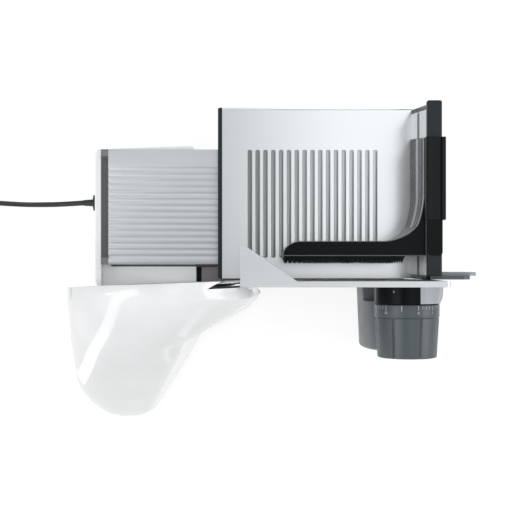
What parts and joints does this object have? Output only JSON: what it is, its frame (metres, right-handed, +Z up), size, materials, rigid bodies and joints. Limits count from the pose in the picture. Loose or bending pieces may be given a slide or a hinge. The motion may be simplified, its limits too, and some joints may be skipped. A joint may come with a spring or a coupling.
{
  "type": "food slicer",
  "caption": "Household food slicer: round blade in a white motor tower, sliding steel carriage with pusher, stop plate set by a thickness dial, ribbed table and mains lead.",
  "frame": {"origin": "on the supporting surface, under the middle of the slicer without its cord", "axes": "+X along the carriage travel away from the blade, +Y towards the food side, +Z up"},
  "size_m": [0.5448, 0.3033, 0.2363],
  "materials": {
    "white_gloss": "glossy moulded white",
    "anodised_aluminium": "silver anodised",
    "stainless": "brushed",
    "polished_steel": "polished",
    "drive_steel": "ground",
    "black_plastic": "fine texture",
    "painted_sheet": "satin paint",
    "slate_plastic": "fine texture",
    "grey_plastic": "satin",
    "smoke_plastic": "smooth",
    "gear_plastic": "moulded",
    "bronze": "sintered",
    "rubber": "matte",
    "cord_black": "smooth"
  },
  "bodies": {
    "root": {"base_housing": "white_gloss", "tower_housing": "white_gloss", "ribbed_table": "anodised_aluminium", "gear_plate": "anodised_aluminium", "guide_rod": "drive_steel", "idler_pin": "drive_steel", "motor_can": "drive_steel", "base_screws": "drive_steel", "table_screws": "drive_steel", "motor_screws": "drive_steel", "tower_screws": "drive_steel", "foot_screws": "drive_steel", "nut_bracket": "drive_steel", "plug_pins": "drive_steel", "base_bottom_plate": "black_plastic", "tower_bottom_plate": "black_plastic", "switch_body": "black_plastic", "chassis_channel": "painted_sheet", "table_end_strip": "slate_plastic", "dial_foot": "grey_plastic", "table_leg": "grey_plastic", "terminal_block": "grey_plastic", "spindle_bush": "bronze", "rubber_feet": "rubber", "cord_gland": "cord_black", "cord_tube": "cord_black", "cord_coil": "cord_black", "cord_tail": "cord_black", "plug_body": "cord_black", "cord_tie": "cord_black"},
    "blade": {"blade": "stainless", "spindle": "drive_steel", "spindle_gear": "gear_plastic"},
    "blade_lock": {"blade_lock": "slate_plastic"},
    "idler": {"idler_gear": "gear_plastic"},
    "motor": {"motor_rotor": "drive_steel", "motor_pinion": "gear_plastic"},
    "carriage": {"carriage_table": "stainless", "edge_trim": "slate_plastic", "rear_edge": "polished_steel", "carriage_wall": "polished_steel", "wall_caps": "black_plastic", "pusher_rail": "slate_plastic", "guard_frame": "slate_plastic", "hand_guard": "smoke_plastic", "carriage_web": "drive_steel", "runner_block": "gear_plastic", "glide_pads": "gear_plastic"},
    "pusher": {"pusher_arm": "black_plastic", "pusher_sleeve": "black_plastic", "pusher_clip": "black_plastic", "pusher_teeth": "black_plastic"},
    "stop_plate": {"stop_plate": "anodised_aluminium", "finger_guard": "anodised_aluminium", "guide_pins": "drive_steel", "dial_boss": "slate_plastic", "dial_clip": "drive_steel"},
    "dial": {"dial_knob": "slate_plastic", "feed_screw": "drive_steel"},
    "button": {"push_button": "grey_plastic"}
  },
  "joints": [
    {"name": "carriage_slide", "type": "slide", "parent": "root", "child": "carriage", "axis": [-1, 0, 0], "range_m": [0, 0.175]},
    {"name": "pusher_slide", "type": "slide", "parent": "carriage", "child": "pusher", "axis": [0, 1, 0], "range_m": [-0.012, 0.033]},
    {"name": "plate_slide", "type": "slide", "parent": "root", "child": "stop_plate", "axis": [0, -1, 0], "range_m": [0, 0.013]},
    {"name": "dial_turn", "type": "hinge", "parent": "stop_plate", "child": "dial", "pos_m": [0.1325, -0.06, 0.1], "axis": [0, -1, 0], "range_deg": [0, 300]},
    {"name": "blade_spin", "type": "hinge", "parent": "root", "child": "blade", "pos_m": [-0.08395, -0.01557, 0.145], "axis": [0.0349, -0.9994, 0], "continuous": true},
    {"name": "idler_spin", "type": "hinge", "parent": "root", "child": "idler", "pos_m": [-0.10718, -0.01638, 0.09515], "axis": [0.0349, -0.9994, 0], "continuous": true},
    {"name": "motor_spin", "type": "hinge", "parent": "root", "child": "motor", "pos_m": [-0.12939, -0.01715, 0.06341], "axis": [0.0349, -0.9994, 0], "continuous": true},
    {"name": "lock_turn", "type": "hinge", "parent": "blade", "child": "blade_lock", "pos_m": [-0.08395, -0.01557, 0.145], "axis": [0.0349, -0.9994, 0], "range_deg": [0, 90]},
    {"name": "button_press", "type": "slide", "parent": "root", "child": "button", "axis": [0, -1, 0], "range_m": [0, 0.003], "stiffness_N_per_m": 400}
  ],
  "couplings": [
    {"joint": "dial_turn", "follows": "plate_slide", "rad_per_m": 402.5},
    {"joint": "idler_spin", "follows": "blade_spin", "ratio": -4.5},
    {"joint": "motor_spin", "follows": "blade_spin", "ratio": 15.429}
  ]
}
